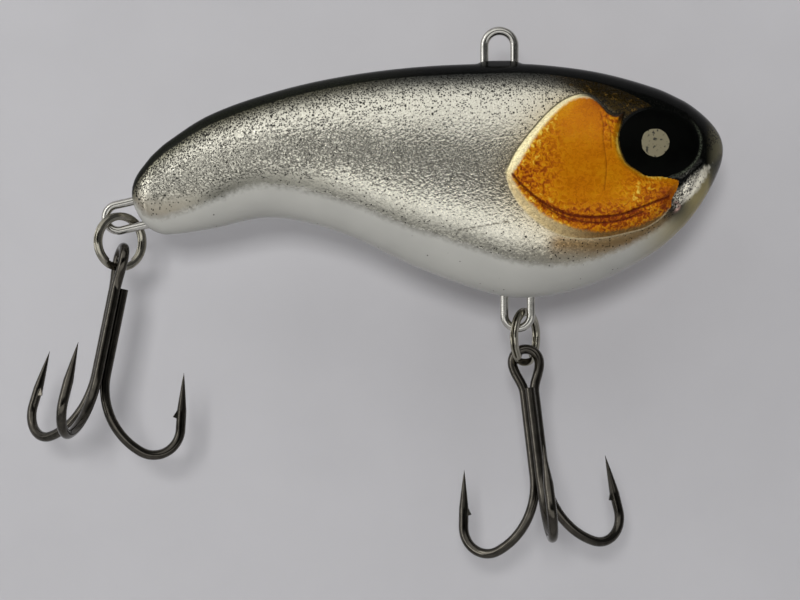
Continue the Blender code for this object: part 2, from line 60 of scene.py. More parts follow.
PROFILE = np.array((  # share of the length from the tail; back, belly and width as shares of the full size
    (0.000, 0.440, 0.682, 0.30),
    (0.020, 0.422, 0.706, 0.327),
    (0.036, 0.392, 0.722, 0.349),
    (0.059, 0.341, 0.738, 0.38),
    (0.130, 0.226, 0.715, 0.49),
    (0.237, 0.128, 0.665, 0.66),
    (0.355, 0.059, 0.731, 0.78),
    (0.486, 0.017, 0.883, 0.89),
    (0.622, 0.003, 0.999, 0.97),
    (0.699, 0.010, 1.003, 1.00),
    (0.794, 0.044, 0.936, 0.99),
    (0.889, 0.112, 0.804, 0.92),
    (0.950, 0.182, 0.663, 0.84),
    (1.000, 0.213, 0.539, 0.70),
))
BLACK_DEPTH = np.array((  # place along the body and how far the black reaches down from the back, in mm
    (-52.6, 1.5), (-48.0, 1.6), (-40.0, 1.75), (-28.0, 1.7), (-18.0, 1.7), (-4.0, 1.8), (7.5, 1.7),
    (12.0, 1.9), (16.0, 2.2), (20.0, 3.0), (24.0, 4.6), (27.0, 7.0), (28.8, 7.6), (30.2, 5.6), (31.2, 3.4),
    (32.0, 2.0),
))
PEARL_HEIGHT = np.array((  # place along the body and how far the pearl reaches up from the belly, in mm
    (-52.6, 1.0), (-46.6, 2.6), (-37.0, 4.2), (-30.0, 4.3), (-23.0, 4.4), (-14.6, 4.9), (-9.0, 5.4),
    (-2.8, 5.5), (3.0, 4.9), (10.0, 3.8), (16.0, 3.4), (22.0, 3.3), (25.0, 3.6), (27.0, 4.6), (29.0, 6.0),
    (31.0, 4.4), (32.0, 2.0),
))
DUSK_DEPTH = np.array((  # place along the head and how far brown shade reaches down from the back, in mm
    (3.0, 1.4), (7.0, 2.3), (9.5, 3.3), (12.0, 4.2), (14.0, 5.2), (15.6, 6.2), (17.6, 6.3), (20.0, 5.4),
    (24.0, 4.6), (32.0, 3.0),
))
EYE_X = 0.0220
EYE_Z = -0.0142
EYE_LENGTH = 0.0117
EYE_HEIGHT = 0.0099
EYE_OVAL_MM = ((EYE_X * 1000, EYE_Z * 1000), (EYE_LENGTH * 1000, EYE_HEIGHT * 1000), 0)
EYE_BORDER_MM = 0.25
GILL_OUTLINE = (  # smooth arcs that meet at corners; places seen from the right side, in mm
    (
        (0.5, -18.5), (1.3, -16.5), (2.5, -14.6), (4.4, -12.2), (6.5, -9.9), (8.5, -8.3), (10.6, -7.4),
        (12.4, -7.4), (13.9, -8.4), (15.2, -9.9),
    ),
    ((15.2, -9.9), (16.0, -10.2), (17.3, -10.0)),
    (
        (17.3, -10.0), (16.9, -11.4), (16.4, -13.2), (16.5, -15.0), (17.3, -17.0), (18.6, -18.1),
        (20.2, -19.05), (22.0, -19.1), (24.2, -19.5), (24.7, -19.7),
    ),
    ((24.7, -19.7), (24.5, -20.7), (23.8, -22.1), (23.7, -23.2)),
    (
        (23.7, -23.2), (22.4, -24.8), (20.2, -26.2), (17.8, -26.9), (14.5, -27.6), (11.3, -27.8),
        (8.5, -27.4), (6.0, -26.2), (3.9, -24.6), (2.2, -22.7), (1.1, -20.7), (0.5, -18.5),
    ),
)
MOUTH = ((22.6, -19.1), (25.2, -20.0), (28.2, -17.1))
MOUTH_PRESS = 0.00022
MOUTH_WIDTH_MM = 0.3
MOUTH_CORNER = (24.35, -23.2)
CORNER_PRESS = 0.00035
CORNER_WIDTH_MM = 0.32
CORNER_DOT_MM = 0.40
LIP_OVAL_MM = ((26.6, -20.4), (5.8, 1.7), 47)
STAIN_LINE = ((8.0, -28.4), (13.0, -28.7), (18.0, -27.8), (22.0, -26.0), (24.6, -24.2))
FOIL_CREASE = ((-6.5, -26.6), (-3.0, -26.0), (1.1, -25.3))
POOL_RISE = 0.00045
POOL_LENGTH = 0.0029
POOL_WIDTH = 0.0012


def through(rows, at, column):
    """Smooth curve through the rows of a table, read at any places along it."""
    x = rows[:, 0]
    y = rows[:, column]
    here = np.arange(len(x))
    after = np.minimum(here + 1, len(x) - 1)
    before = np.maximum(here - 1, 0)
    slope = (y[after] - y[before]) / (x[after] - x[before])
    row = np.clip(np.searchsorted(x, at, side="right") - 1, 0, len(x) - 2)
    width = x[row + 1] - x[row]
    u = (at - x[row]) / width
    rise = y[row] * (1 + 2 * u) * (1 - u) ** 2 + y[row + 1] * u * u * (3 - 2 * u)
    return rise + width * (slope[row] * u * (1 - u) ** 2 - slope[row + 1] * u * u * (1 - u))


def body_section(share):
    """Middle, half height and half width of the body at shares of its length from the tail."""
    back = BACK_TOP_Z - BODY_HEIGHT * through(PROFILE, share, 1)
    belly = BACK_TOP_Z - BODY_HEIGHT * through(PROFILE, share, 2)
    width = BODY_WIDTH * through(PROFILE, share, 3)
    left = np.ones_like(share)
    for gap, radius in ((share, TAIL_ROUND), (1 - share, NOSE_ROUND)):
        near = np.clip(1 - gap * BODY_LENGTH / radius, 0, 1)
        left = left * np.sqrt(1 - near * near)
    return (back + belly) / 2, (back - belly) / 2 * left, width / 2 * left


def bulge(t):
    """Share of the half width at a height from -1 at the belly to 1 at the back."""
    full = (1 - np.abs(t) ** FLANK_FULLNESS) ** (1 / FLANK_FULLNESS)
    return full * (1 - BACK_TAPER * t) / (1 + BACK_TAPER)


def flank_y(x, z):
    """How far the flank stands out from the middle over places seen from the side."""
    middle, half_height, half_width = body_section(np.clip((x - TAIL_X) / BODY_LENGTH, 0, 1))
    return half_width * bulge(np.clip((z - middle) / np.maximum(half_height, 1e-9), -1, 1))


def oval_depth(x, z, centre, size, turn):
    """Depth inside a turned oval, negative outside it, in the units of its size."""
    c, s = math.cos(math.radians(turn)), math.sin(math.radians(turn))
    along = ((x - centre[0]) * c + (z - centre[1]) * s) / (size[0] / 2)
    across = ((z - centre[1]) * c - (x - centre[0]) * s) / (size[1] / 2)
    return (1 - np.hypot(along, across)) * min(size) / 2


def line_distance(x, z, line):
    """Distance from a bent line given by its points."""
    nearest = np.full(np.shape(x), 1e9)
    for (ax, az), (bx, bz) in zip(line[:-1], line[1:]):
        dx, dz = bx - ax, bz - az
        run = np.clip(((x - ax) * dx + (z - az) * dz) / (dx * dx + dz * dz), 0, 1)
        nearest = np.minimum(nearest, np.hypot(x - ax - run * dx, z - az - run * dz))
    return nearest


def smooth_line(points, steps=10):
    """Points along a smooth curve through a few given ones."""
    rows = np.column_stack((np.arange(len(points)), np.array(points, float)))
    at = np.linspace(0, len(points) - 1, (len(points) - 1) * steps + 1)
    return list(zip(through(rows, at, 1), through(rows, at, 2)))


def outline_depth(x, z, arcs):
    """Depth inside a closed outline of smooth arcs, negative outside it."""
    loop = [point for arc in arcs for point in smooth_line(arc)[:-1]]
    loop.append(loop[0])
    inside = np.zeros(np.shape(x), bool)
    for (ax, az), (bx, bz) in zip(loop[:-1], loop[1:]):
        if az != bz:
            crosses = ((az > z) != (bz > z)) & (x < (bx - ax) * (z - az) / (bz - az) + ax)
            inside ^= crosses
    gap = line_distance(x, z, loop)
    return np.where(inside, gap, -gap)


def new_piece(name, points, faces, body, fields=None):
    """A smooth mesh piece at the origin that rides on a body, with a number for each point of each field."""
    mesh = bpy.data.meshes.new(name)
    mesh.from_pydata(np.asarray(points, float).tolist(), [], [list(face) for face in faces])
    for field, values in (fields or {}).items():
        held = mesh.attributes.new(field, "FLOAT", "POINT")
        held.data.foreach_set("value", np.asarray(values, np.float32))
    mesh.polygons.foreach_set("use_smooth", [True] * len(mesh.polygons))
    piece = bpy.data.objects.new(name, mesh)
    bpy.context.scene.collection.objects.link(piece)
    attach(piece, body)
    return piece


def ramp(low, high, value):
    """Soft rise from 0 at low to 1 at high, or a fall where low is the greater."""
    u = np.clip((value - low) / (high - low), 0, 1)
    return u * u * (3 - 2 * u)


# The form: rings of points from tail to nose, with the mouth pressed in and the clear coat pooled round
# the line tie.
shares = (1 - np.cos(np.linspace(0, math.pi, BODY_STATIONS + 2)[1:-1])) / 2
turns = np.arange(BODY_SIDES) * 2 * math.pi / BODY_SIDES
middle, half_height, half_width = (part[:, None] for part in body_section(shares))
height = np.cos(turns)[None, :]
body_x = np.repeat((TAIL_X + BODY_LENGTH * shares)[:, None], BODY_SIDES, axis=1)
body_y = half_width * bulge(height) * np.sign(np.round(np.sin(turns), 9))[None, :]
body_z = middle + half_height * height
x_mm, z_mm = body_x * 1000, body_z * 1000
mouth_gap = line_distance(x_mm, z_mm, MOUTH)
corner_gap = np.hypot(x_mm - MOUTH_CORNER[0], z_mm - MOUTH_CORNER[1])
pressed = MOUTH_PRESS * np.exp(-(mouth_gap / MOUTH_WIDTH_MM) ** 2)
pressed = pressed + CORNER_PRESS * np.exp(-(corner_gap / CORNER_WIDTH_MM) ** 2)
body_y = body_y - np.sign(body_y) * np.minimum(pressed, np.abs(body_y))
pooled = POOL_RISE * np.exp(-(body_x / POOL_LENGTH) ** 8 - (body_y / POOL_WIDTH) ** 2) * (height > 0)
body_points = np.stack((body_x, body_y, body_z + pooled), axis=-1).reshape(-1, 3)
tail_end = (TAIL_X, 0.0, float(body_section(np.array([0.0]))[0][0]))
nose_end = (TAIL_X + BODY_LENGTH, 0.0, float(body_section(np.array([1.0]))[0][0]))
body_points = np.vstack((body_points, tail_end, nose_end))
body_faces = []
for i in range(BODY_STATIONS - 1):
    for k in range(BODY_SIDES):
        near, far = i * BODY_SIDES, (i + 1) * BODY_SIDES
        body_faces.append((near + k, near + (k + 1) % BODY_SIDES, far + (k + 1) % BODY_SIDES, far + k))
last = (BODY_STATIONS - 1) * BODY_SIDES
for k in range(BODY_SIDES):
    body_faces.append((BODY_STATIONS * BODY_SIDES, (k + 1) % BODY_SIDES, k))
    body_faces.append((BODY_STATIONS * BODY_SIDES + 1, last + k, last + (k + 1) % BODY_SIDES))

# Where the paint lies, with every place and width in mm. The black covers the back, softens over the nose,
# borders the eye, and is brushed along the mouth, thinner towards its front, and into its corner.
below_back = (middle + half_height - body_z) * 1000
above_belly = (body_z - middle + half_height) * 1000
eye_depth = oval_depth(x_mm, z_mm, *EYE_OVAL_MM)
outside_gill = -outline_depth(x_mm, z_mm, GILL_OUTLINE)
black = through(BLACK_DEPTH, x_mm, 1) - below_back
black = black / (1 + 5 * ramp(29.0, 31.0, x_mm))
black = np.maximum(black, eye_depth + EYE_BORDER_MM)
mouth_line = 0.62 - 0.40 * ramp(24.6, 27.0, x_mm)
black = np.maximum(black, mouth_line - mouth_gap)
black = np.maximum(black, CORNER_DOT_MM - corner_gap)
pearl = through(PEARL_HEIGHT, x_mm, 1) - above_belly
lip = oval_depth(x_mm, z_mm, *LIP_OVAL_MM)
# Brown dusk over the head, and amber that has run out below and round the gill.
dusk_depth = through(DUSK_DEPTH, np.clip(x_mm, 3, 32), 1)
dusk = ramp(-1.3, 0.9, dusk_depth - below_back) * ramp(3.5, 12.5, x_mm)
stain = 0.85 * np.exp(-(line_distance(x_mm, z_mm, STAIN_LINE) / 1.5) ** 2)
warm = 0.55 * np.exp(-np.maximum(outside_gill, 0) / 2.2)
# Dots of black: thick beside the black, thinning down the flank, a few more at the tail and on the lip,
# almost none on the pearl, and fewer just over it along the rear half.
off_black = np.minimum(black, 0)
tail_dots = 0.14 * ramp(-4.0, -38.0, x_mm)
specks = 0.95 * np.exp(off_black / 2.4) + 0.25 * np.exp(off_black / 6) + tail_dots
specks = (specks + 0.02) * ramp(0.4, -1.4, pearl) + 0.004 + 0.16 * ramp(-0.1, 0.2, lip)
rear_half = ramp(-14.0, -26.0, x_mm)
cleared = 0.7 * ramp(-2.4, -0.6, pearl) * rear_half * ramp(-53.0, -42.0, x_mm)
over_pearl = 0.02 * ramp(-2.6, -1.0, pearl) * ramp(0.2, -0.6, pearl)
specks = specks * (1 - cleared) + over_pearl * ramp(-24.0, -12.0, x_mm)
# Painted shade low on the flank, weaker at the tail's end and below the gill, and over the low half of the
# tail.
low_shade_strength = 0.30 + 0.32 * ramp(-45.0, -39.0, x_mm) - 0.2 * ramp(6.0, 14.0, x_mm)
lower_half = ramp(0.30, 0.85, below_back / (below_back + above_belly))
low_shade = low_shade_strength * ramp(-3.9, -0.7, pearl) + 0.42 * ramp(-20.0, -44.0, x_mm) * lower_half
# A grey crescent at the eye's front edge, a painted highlight on the rim of the eye's socket, and a pale
# rim to the mouth's corner.
eye_front = ramp(-0.5, 4.0, x_mm - 24.0 - 0.8 * (z_mm + 14.0))
socket = np.exp(-((eye_depth + 0.16) / 0.13) ** 2) * eye_front
pit = np.exp(-((corner_gap - 0.55) / 0.16) ** 2) * ramp(24.0, 24.4, x_mm)
# Flakes of the foil show most at the tail and low on the middle of the flank, where they tilt most and
# are painted with the most glitter.
tail_flakes = 0.65 * ramp(-6.0, -34.0, x_mm) * ramp(-0.8, -3.2, pearl)
low_flakes = 0.35 * ramp(11.0, 6.0, above_belly) * ramp(-16.0, -6.0, x_mm)
fields = {
    "black": black, "pearl": pearl, "lip": lip, "dusk": dusk, "stain": stain, "warm": warm,
    "specks": specks, "low_shade": low_shade, "socket": socket, "pit": pit,
    "crease": line_distance(x_mm, z_mm, FOIL_CREASE),
    "chin": ramp(17.0, 28.0, x_mm),
    "olive": ramp(-8.0, -24.0, x_mm),
    "nose": ramp(28.6, 31.2, x_mm),
    "glitter": 0.35 + tail_flakes + low_flakes,
    "veil": 0.72 * ramp(-40.0, -48.0, x_mm) * ramp(-4.6, -0.6, pearl),
}
fields = {n: np.append(values.reshape(-1), values.reshape(-1)[[0, -1]]) for n, values in fields.items()}
body = new_piece("painted_body", body_points, body_faces, "lure_body", fields)
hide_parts("right_body_half", "left_body_half", "right_flank_foil", "left_flank_foil")


def linear(colour):
    """Linear colour of an sRGB hex value."""
    parts = [int(colour[k:k + 2], 16) / 255 for k in (1, 3, 5)]
    return [p / 12.92 if p <= 0.04045 else ((p + 0.055) / 1.055) ** 2.4 for p in parts] + [1.0]


def feed(tree, node, feeds):
    """Fills sockets, by name or in order, with a node's live output, one output, a hex colour or a value."""
    for socket, value in feeds.items() if isinstance(feeds, dict) else enumerate(feeds):
        if isinstance(value, bpy.types.Node):
            value = next(output for output in value.outputs if output.enabled)
        if isinstance(value, str):
            value = linear(value)
        if isinstance(value, bpy.types.NodeSocket):
            tree.links.new(value, node.inputs[socket])
        else:
            node.inputs[socket].default_value = value


def add(tree, kind, feeds=(), **settings):
    """One node with its settings and feeds."""
    node = tree.nodes.new(kind)
    for name, value in settings.items():
        setattr(node, name, value)
    feed(tree, node, feeds)
    return node


def mix(tree, share, under, over):
    """One colour laid over another by a share. Its sockets can't be told apart by name."""
    return add(tree, "ShaderNodeMix", {0: share, 6: under, 7: over}, data_type="RGBA")


def soft_masks(tree, rows):
    """Masks by name, each a soft rise from 0, where its value is low, to its most, where it is high."""
    masks = {}
    for name, value, low, high, most in rows:
        limits = {"Value": value, "From Min": low, "From Max": high, "To Max": most}
        masks[name] = add(tree, "ShaderNodeMapRange", limits, interpolation_type="SMOOTHSTEP")
    return masks


def new_finish(name):
    """An empty finish: its node tree, its shader and the place on the piece."""
    finish = bpy.data.materials.new(name)
    finish.use_nodes = True
    tree = finish.node_tree
    return finish, tree, tree.nodes["Principled BSDF"], add(tree, "ShaderNodeTexCoord").outputs["Object"]


# Foil under paint and clear coat: the foil's fine crinkle breaks the light into grains, and each flake is
# also painted lighter and darker, a painted glitter. Black dots of spray lie thick along the back, and black
# and pearl end in soft sprayed edges. Amber has run out round the gill.
CRINKLE_GRAIN = 0.00036
FLAKE_GRAIN = 0.00024  # coarser than the real foil's, so that it shows
DRIFT_GRAIN = 0.006
RAGGED_GRAIN = 0.0007
DOT_EDGE = {"From Min": 0.50, "From Max": 0.36}
finish, tree, shader, place = new_finish("crinkled_foil_under_paint_and_clear_coat")
held = {n: add(tree, "ShaderNodeAttribute", attribute_name=n).outputs["Fac"] for n in fields}
grain_of_foil = {"Vector": place, "Scale": 1 / CRINKLE_GRAIN, "Detail": 2.0, "Roughness": 0.6}
crinkle = add(tree, "ShaderNodeTexNoise", grain_of_foil)
flake = add(tree, "ShaderNodeTexVoronoi", {"Vector": place, "Scale": 1 / FLAKE_GRAIN})
flake_tone = add(tree, "ShaderNodeSeparateColor", {"Color": flake.outputs["Color"]})
drift = add(tree, "ShaderNodeTexNoise", {"Vector": place, "Scale": 1 / DRIFT_GRAIN, "Detail": 2.0})
ragged = add(tree, "ShaderNodeTexNoise", {"Vector": place, "Scale": 1 / RAGGED_GRAIN, "Detail": 3.0})
speck = None
for size, share, strength in ((0.00024, 1.0, 0.92), (0.00042, 0.10, 0.95)):
    dots = add(tree, "ShaderNodeTexVoronoi", {"Vector": place, "Scale": 1 / size})
    chance = add(tree, "ShaderNodeSeparateColor", {"Color": dots.outputs["Color"]})
    dot = add(tree, "ShaderNodeMapRange", {"Value": dots, **DOT_EDGE, "To Min": 0.0, "To Max": strength})
    amount = add(tree, "ShaderNodeMath", (held["specks"], share), operation="MULTIPLY")
    sprayed = add(tree, "ShaderNodeMath", (chance, amount), operation="LESS_THAN")
    layer = add(tree, "ShaderNodeMath", (dot, sprayed), operation="MULTIPLY")
    speck = add(tree, "ShaderNodeMath", (speck, layer), operation="MAXIMUM") if speck else layer
wander = add(tree, "ShaderNodeMapRange", {"Value": ragged, "To Min": -0.5, "To Max": 0.5})
black_edge = add(tree, "ShaderNodeMath", (wander, 0.25, held["black"]), operation="MULTIPLY_ADD")
pearl_edge = add(tree, "ShaderNodeMath", (held["pearl"], wander), operation="ADD")
lip_edge = add(tree, "ShaderNodeMath", (held["lip"], wander), operation="ADD")
mask = soft_masks(tree, (
    ("black", black_edge, -0.14, 0.14, 1.0),
    ("mist", black_edge, -3.4, 0.3, 0.95),
    ("pearl", pearl_edge, -0.8, 0.7, 1.0),
    ("lip", lip_edge, -0.45, 0.30, 0.95),
    ("crease", held["crease"], 0.22, 0.06, 0.85),
    ("fleck", ragged, 0.60, 0.66, 0.7),
))
tints = {}
for name, share, under, over in (
    ("foil", drift, "#cbc8b8", "#dedbcc"),
    ("pearl", drift, "#a2a19b", "#b2b1aa"),
    ("strip", held["olive"], "#030403", "#15170f"),
    ("haze", held["olive"], "#262a2a", "#4a4836"),
):
    tints[name] = mix(tree, share, under, over)
for name, share, over in (("pearl", held["chin"], "#988c62"), ("strip", held["nose"], "#605c46")):
    tints[name] = mix(tree, share, tints[name], over)
# Each flake is painted lighter and darker, a painted glitter, most where the glitter field is high.
painted_glitter = add(tree, "ShaderNodeMath", (flake_tone, -0.55), operation="ADD")
painted_glitter = add(tree, "ShaderNodeMath", (painted_glitter, held["glitter"]), operation="MULTIPLY")
painted_glitter = add(tree, "ShaderNodeMath", (painted_glitter, 0.55, 1.0), operation="MULTIPLY_ADD")
fleck = add(tree, "ShaderNodeMath", (mask["fleck"], held["dusk"]), operation="MULTIPLY")
coat = add(tree, "ShaderNodeVectorMath", {0: tints["foil"], "Scale": painted_glitter}, operation="SCALE")
for share, colour in (
    # the foil's crease is painted darker along its line, a painted shade in the fold
    (mask["crease"], "#55534a"),
    # painted shade low on the flank and over the low half of the tail
    (held["low_shade"], "#55544c"),
    (held["warm"], "#bda878"),
    (held["stain"], "#86683a"),
    (held["veil"], "#8e8676"),
    (mask["pearl"], tints["pearl"]),
    (mask["mist"], tints["haze"]),
    (held["dusk"], "#362a10"),
    (fleck, "#7c5e26"),
    (mask["black"], tints["strip"]),
    # painted highlight on the rim of the eye's socket
    (held["socket"], "#4b5044"),
    (mask["lip"], "#ebe6d4"),
    (held["pit"], "#c4a195"),
    (speck, "#0c0c0a"),
):
    coat = mix(tree, share, coat, colour)
covered = mask["black"]
for share in (mask["pearl"], speck, held["veil"]):
    covered = add(tree, "ShaderNodeMath", (covered, share), operation="MAXIMUM")
bare = add(tree, "ShaderNodeMath", (1.0, covered), operation="SUBTRACT")
shine = add(tree, "ShaderNodeMath", (bare, 0.95), operation="MULTIPLY")
crinkle_rough = {"Value": crinkle, "From Min": 0.3, "From Max": 0.7, "To Min": 0.15, "To Max": 0.23}
rough = add(tree, "ShaderNodeMapRange", crinkle_rough)
lift = add(tree, "ShaderNodeMath", (crinkle, bare), operation="MULTIPLY")
bump = add(tree, "ShaderNodeBump", {"Strength": 0.6, "Distance": 0.00012, "Height": lift})
tilt = add(tree, "ShaderNodeVectorMath", (flake.outputs["Color"], (0.5, 0.5, 0.5)), operation="SUBTRACT")
tilt_size = add(tree, "ShaderNodeMath", (held["glitter"], bare), operation="MULTIPLY")
tilt_size = add(tree, "ShaderNodeMath", (tilt_size, 0.22), operation="MULTIPLY")
tilt = add(tree, "ShaderNodeVectorMath", {0: tilt, "Scale": tilt_size}, operation="SCALE")
facing = add(tree, "ShaderNodeVectorMath", (bump, tilt), operation="ADD")
facing = add(tree, "ShaderNodeVectorMath", (facing,), operation="NORMALIZE")
feed(tree, shader, {
    "Base Color": coat,
    "Metallic": shine,
    "Roughness": rough,
    "Normal": facing,
    "Specular IOR Level": 0.03,
    "Coat Weight": 0.10,
    "Coat Roughness": 0.05,
})
body.data.materials.append(finish)

# Gill plates: raised covers carved on each cheek, with a rolled rim, a hollow round the eye and a double
# groove along the lower edge. Foil lies over them, and amber lacquer is brushed inside the rim.
PLATE_HEIGHT = 0.00062
PLATE_EDGE = 0.00004
PLATE_ROLL = 0.0009
PLATE_CELL = 0.00011
PLATE_SINK = 0.0002
PLATE_BACKING = 0.0001
AMBER_OUTLINE = (
    (
        (1.7, -18.3), (2.2, -17.5), (4.6, -13.7), (6.7, -11.1), (9.0, -9.0), (10.9, -8.2), (12.8, -8.3),
        (14.1, -9.2), (15.1, -10.3),
    ),
    ((15.1, -10.3), (16.2, -10.3), (17.3, -10.0), (19.5, -14.5), (24.9, -19.7), (23.9, -23.3)),
    (
        (23.9, -23.3), (22.4, -24.3), (20.2, -25.4), (17.8, -26.2), (14.2, -26.7), (10.8, -26.4),
        (8.0, -25.5), (5.7, -24.3), (3.6, -22.5), (2.2, -20.7), (1.4, -19.2), (1.7, -18.3),
    ),
)
GROOVE = smooth_line((
    (1.5, -18.8), (2.9, -20.4), (5.0, -22.2), (7.3, -23.6), (9.9, -24.5), (13.1, -24.7), (16.6, -24.3),
    (19.1, -23.4), (21.5, -22.5), (23.3, -21.8),
))
LOW_GROOVE = smooth_line((
    (5.6, -23.0), (7.4, -24.1), (9.4, -24.9), (12.0, -25.4), (14.6, -25.4), (17.2, -24.9), (19.6, -23.9),
))
LONG_CREASE = smooth_line(((13.8, -10.2), (14.2, -12.2), (14.1, -14.0), (14.5, -17.5), (14.2, -21.0)))
SHORT_CREASE = smooth_line(((14.6, -10.6), (15.1, -12.9), (15.2, -15.2)))


def over_flank(x, z, lift, side):
    """Points that stand off the flank by a lift, on the left for side 1 and on the right for side -1."""
    step = 0.0002
    slope_x = (flank_y(x + step, z) - flank_y(x - step, z)) / (2 * step)
    slope_z = (flank_y(x, z + step) - flank_y(x, z - step)) / (2 * step)
    size = np.sqrt(1 + slope_x ** 2 + slope_z ** 2)
    y = flank_y(x, z) + lift / size
    return np.stack((x - lift * slope_x / size, side * y, z - lift * slope_z / size), axis=-1)


def gill_cover(name, side):
    """A thin cover on a flank: the cells where the plate stands above its sink, closed by a lower skin."""
    columns = np.arange(0.0001, 0.0252, PLATE_CELL)
    rows = np.arange(-0.0282, -0.0070, PLATE_CELL)
    x, z = np.meshgrid(columns, rows, indexing="ij")
    lift = plate_lift(x, z)
    keep = lift > -PLATE_SINK
    cells = keep[:-1, :-1] & keep[1:, :-1] & keep[1:, 1:] & keep[:-1, 1:]
    index = np.full(x.shape, -1)
    used = np.zeros(x.shape, bool)
    for di in (0, 1):
        for dk in (0, 1):
            used[di:di + cells.shape[0], dk:dk + cells.shape[1]] |= cells
    index[used] = np.arange(used.sum())
    top = over_flank(x[used], z[used], lift[used], side)
    bottom = over_flank(x[used], z[used], np.full(used.sum(), -PLATE_SINK - PLATE_BACKING), side)
    count = len(top)
    faces = []
    edges = {}
    for i, k in zip(*np.nonzero(cells)):
        quad = [int(index[i, k]), int(index[i + 1, k]), int(index[i + 1, k + 1]), int(index[i, k + 1])]
        quad = quad if side < 0 else quad[::-1]
        faces.append(quad)
        faces.append([v + count for v in reversed(quad)])
        for a, b in zip(quad, quad[1:] + quad[:1]):
            if edges.pop((b, a), None) is None:
                edges[(a, b)] = True
    faces += [[b, a, a + count, b + count] for a, b in edges]
    fields = {n: np.tile(values[used], 2) for n, values in plate_fields(x, z).items()}
    return new_piece(name, np.vstack((top, bottom)), faces, "lure_body", fields)


def plate_lift(x, z):
    """Height of the plate over the flank: a rolled rim, a flat cheek, two grooves and two creases."""
    mx, mz = x * 1000, z * 1000
    depth = outline_depth(mx, mz, GILL_OUTLINE)
    roll = PLATE_ROLL * 1000 * (1 + ramp(-19.0, -24.0, mz))
    rise = ramp(-0.1, roll, depth)
    lift = PLATE_EDGE + (PLATE_HEIGHT - PLATE_EDGE) * rise
    for line, width, fall in (
        (GROOVE, 0.20, 0.00024),
        (LOW_GROOVE, 0.18, 0.00016),
        (LONG_CREASE, 0.12, 0.00005),
        (SHORT_CREASE, 0.12, 0.00004),
    ):
        lift = lift - fall * rise * np.exp(-(line_distance(mx, mz, line) / width) ** 2)
    return np.where(depth < -0.12, -1.0, lift)


def spot(x, z, centre_x, centre_z, wide, tall):
    """Soft round spot, 1 at its centre."""
    return np.exp(-((x - centre_x) / wide) ** 2 - ((z - centre_z) / tall) ** 2)


def plate_fields(x, z):
    """What the finish follows: depths in the outlines, distances from the lines, and the lacquer's depth."""
    mx, mz = x * 1000, z * 1000
    plate = outline_depth(mx, mz, GILL_OUTLINE)
    inside = outline_depth(mx, mz, AMBER_OUTLINE)
    groove = line_distance(mx, mz, GROOVE)
    low_groove = line_distance(mx, mz, LOW_GROOVE)
    eye_gap = -oval_depth(mx, mz, *EYE_OVAL_MM)
    thin_and_highlight = (
        0.5
        + 0.05 * spot(mx, mz, 8, -12, 4, 3)  # worn thin on the upper rear of the cheek
        + 0.08 * spot(mx, mz, 18, -21.5, 3, 2)  # and under the eye
        - 0.14 * ramp(-22.0, -24.0, mz)  # deeper below the groove
        # the yellow line round the eye is a painted highlight on the edge of its hollow
        + 0.4 * np.exp(-(eye_gap / 0.45) ** 2)  # yellow line round the eye
        - 0.2 * spot(mx, mz, 2.2, -17.5, 3.0, 4)  # pooled in the rear corner
        - 0.25 * spot(mx, mz, 13.4, -9.2, 2.0, 2.4)  # in the top corner
        - 0.38 * spot(mx, mz, 22.8, -22, 1.5, 1.2)  # in the mouth's corner
        - 0.3 * np.exp(-((groove + low_groove - 0.85) / 0.35) ** 2)  # and between the grooves
        + 0.22 * np.exp(-(inside / 1.1) ** 2) * ramp(13.0, 8.0, mx)  # thin along the rear rim
    )
    wrinkle = (
        ramp(10.5, 4.0, mx)  # the rear of the cheek
        + 0.8 * ramp(-21.5, -24.0, mz)  # below the groove
        + 0.9 * spot(mx, mz, 15.2, -11.5, 1.3, 3)  # beside the eye
        + 1.0 * spot(mx, mz, 20.0, -21.0, 3.2, 2.2)  # under the eye
    )
    return {
        "plate": plate,
        "amber": inside,
        "groove": np.minimum(groove, low_groove + 0.05),
        "crease": np.minimum(line_distance(mx, mz, LONG_CREASE), line_distance(mx, mz, SHORT_CREASE)),
        "upper": ramp(-20.0, -17.0, mz),
        "notch": ramp(10.0, 12.6, mx) * ramp(-12.5, -10.8, mz),
        "mouth_side": ramp(3.0, 15.0, mx),
        "wrinkle": np.clip(wrinkle, 0.12, 1),
        "thin_and_highlight": np.clip(thin_and_highlight, 0, 1),
    }


# Amber lacquer over foil: clear and deep, with the glitter of the foil's crinkle painted into it as lighter
# and darker amber, painted highlights and shade that are strongest on the wrinkles. It pools darker in the
# corners and between the grooves, and a painted highlight turns it yellow round the eye.
LACQUER_GRAIN = 0.00055
LACQUER_DRIFT = 0.0030
PLATE_FIELDS = ("plate", "amber", "groove", "crease", "upper", "notch", "mouth_side", "wrinkle", "thin_and_highlight")
finish, tree, shader, place = new_finish("amber_lacquer_over_foil")
held = {n: add(tree, "ShaderNodeAttribute", attribute_name=n).outputs["Fac"] for n in PLATE_FIELDS}
grain_of_foil = {"Vector": place, "Scale": 1 / LACQUER_GRAIN, "Detail": 2.0, "Roughness": 0.55}
crinkle = add(tree, "ShaderNodeTexNoise", {**grain_of_foil, "Distortion": 0.6})
drift = add(tree, "ShaderNodeTexNoise", {"Vector": place, "Scale": 1 / LACQUER_DRIFT, "Detail": 3.0})
from_noise = {}
for name, noise, low, high, gives_low, gives_high in (
    ("sway", drift, 0.3, 0.7, -0.10, 0.10),
    ("glint", crinkle, 0.34, 0.66, -0.42, 0.42),
    ("wander", crinkle, 0.0, 1.0, -0.35, 0.35),
    ("rim_grain", crinkle, 0.3, 0.7, 0.82, 1.12),
    ("rough", crinkle, 0.3, 0.7, 0.22, 0.34),
):
    limits = {"Value": noise, "From Min": low, "From Max": high, "To Min": gives_low, "To Max": gives_high}
    from_noise[name] = add(tree, "ShaderNodeMapRange", limits)
